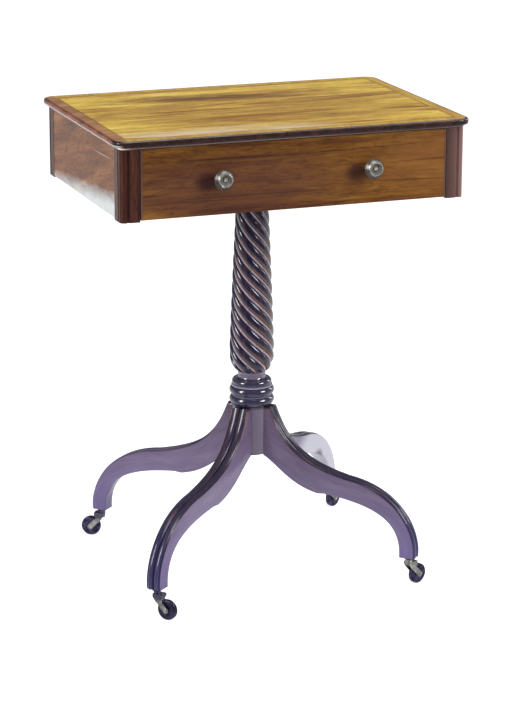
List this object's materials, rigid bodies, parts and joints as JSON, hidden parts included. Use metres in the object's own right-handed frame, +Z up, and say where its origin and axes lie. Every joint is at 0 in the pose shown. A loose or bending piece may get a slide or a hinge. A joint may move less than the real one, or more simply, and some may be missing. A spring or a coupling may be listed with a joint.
{
  "type": "side table",
  "caption": "Side table with a drawer under a veneered top, on a spiral-reeded column with sabre legs and castors.",
  "frame": {"origin": "on the floor, under the axis of the column", "axes": "+Z up; the drawer opens towards -Y, the front; +X to the right seen from the front"},
  "size_m": [0.548, 0.4204, 0.72],
  "materials": {
    "figured_veneer": "glossy, figured golden veneer",
    "crossbanding": "glossy, cross-grained veneer",
    "dark_stringing": "glossy dark line",
    "dark_wood": "polished, very dark red-brown",
    "drawer_veneer": "polished red-brown veneer",
    "side_veneer": "polished red-brown veneer",
    "pale_wood": "polished light wood",
    "pedestal_wood": "polished, very dark",
    "inner_wood": "bare, planed",
    "drawer_lining": "bare, planed",
    "brass": "worn, aged",
    "iron": "dull"
  },
  "bodies": {
    "table": {"top_board": "inner_wood", "top_edge_moulding": "dark_wood", "top_crossband": "crossbanding", "top_stringing": "dark_stringing", "top_panel": "figured_veneer", "frieze_bead": "pale_wood", "corner_post_fl": "dark_wood", "corner_post_fr": "dark_wood", "corner_post_bl": "dark_wood", "corner_post_br": "dark_wood", "side_left": "side_veneer", "side_right": "side_veneer", "back_panel": "side_veneer", "front_top_rail": "inner_wood", "front_bottom_rail": "inner_wood", "runner_left": "inner_wood", "runner_right": "inner_wood", "kicker_left": "inner_wood", "kicker_right": "inner_wood", "drawer_stops": "inner_wood", "glue_blocks": "inner_wood", "top_screws": "iron", "bearer": "inner_wood", "column_block": "dark_wood", "block_screws": "iron", "column_shaft": "pedestal_wood", "column_hub": "pedestal_wood", "hub_plate": "iron", "hub_screws": "iron", "leg_fl": "pedestal_wood", "leg_fr": "pedestal_wood", "leg_bl": "pedestal_wood", "leg_br": "pedestal_wood", "castor_stem_fl": "brass", "castor_stem_fr": "brass", "castor_stem_bl": "brass", "castor_stem_br": "brass"},
    "drawer": {"drawer_front": "drawer_veneer", "drawer_strips": "pale_wood", "drawer_side_left": "drawer_lining", "drawer_side_right": "drawer_lining", "drawer_back": "drawer_lining", "drawer_bottom": "drawer_lining", "knob_left": "brass", "knob_right": "brass", "knob_screws": "iron"},
    "castor_fl": {"castor_horn_fl": "brass", "castor_axle_fl": "iron"},
    "wheel_fl": {"castor_wheel_fl": "brass"},
    "castor_fr": {"castor_horn_fr": "brass", "castor_axle_fr": "iron"},
    "wheel_fr": {"castor_wheel_fr": "brass"},
    "castor_bl": {"castor_horn_bl": "brass", "castor_axle_bl": "iron"},
    "wheel_bl": {"castor_wheel_bl": "brass"},
    "castor_br": {"castor_horn_br": "brass", "castor_axle_br": "iron"},
    "wheel_br": {"castor_wheel_br": "brass"}
  },
  "joints": [
    {"name": "drawer_slide", "type": "slide", "parent": "table", "child": "drawer", "axis": [0, -1, 0], "range_m": [0, 0.24]},
    {"name": "castor_swivel_fl", "type": "hinge", "parent": "table", "child": "castor_fl", "pos_m": [-0.21449, -0.17998, 0.036], "axis": [0, 0, 1], "continuous": true},
    {"name": "wheel_spin_fl", "type": "hinge", "parent": "castor_fl", "child": "wheel_fl", "pos_m": [-0.20292, -0.19377, 0.0155], "axis": [0.766, 0.6428, 0], "continuous": true},
    {"name": "castor_swivel_fr", "type": "hinge", "parent": "table", "child": "castor_fr", "pos_m": [0.18919, -0.18269, 0.036], "axis": [0, 0, 1], "continuous": true},
    {"name": "wheel_spin_fr", "type": "hinge", "parent": "castor_fr", "child": "wheel_fr", "pos_m": [0.20588, -0.17595, 0.0155], "axis": [-0.3746, 0.9272, 0], "continuous": true},
    {"name": "castor_swivel_bl", "type": "hinge", "parent": "table", "child": "castor_bl", "pos_m": [-0.18379, 0.19368, 0.036], "axis": [0, 0, 1], "continuous": true},
    {"name": "wheel_spin_bl", "type": "hinge", "parent": "castor_bl", "child": "wheel_bl", "pos_m": [-0.19938, 0.20267, 0.0155], "axis": [-0.5, -0.866, 0], "continuous": true},
    {"name": "castor_swivel_br", "type": "hinge", "parent": "table", "child": "castor_br", "pos_m": [0.20311, 0.19274, 0.036], "axis": [0, 0, 1], "continuous": true},
    {"name": "wheel_spin_br", "type": "hinge", "parent": "castor_br", "child": "wheel_br", "pos_m": [0.21869, 0.20174, 0.0155], "axis": [-0.5, 0.866, 0], "continuous": true}
  ]
}
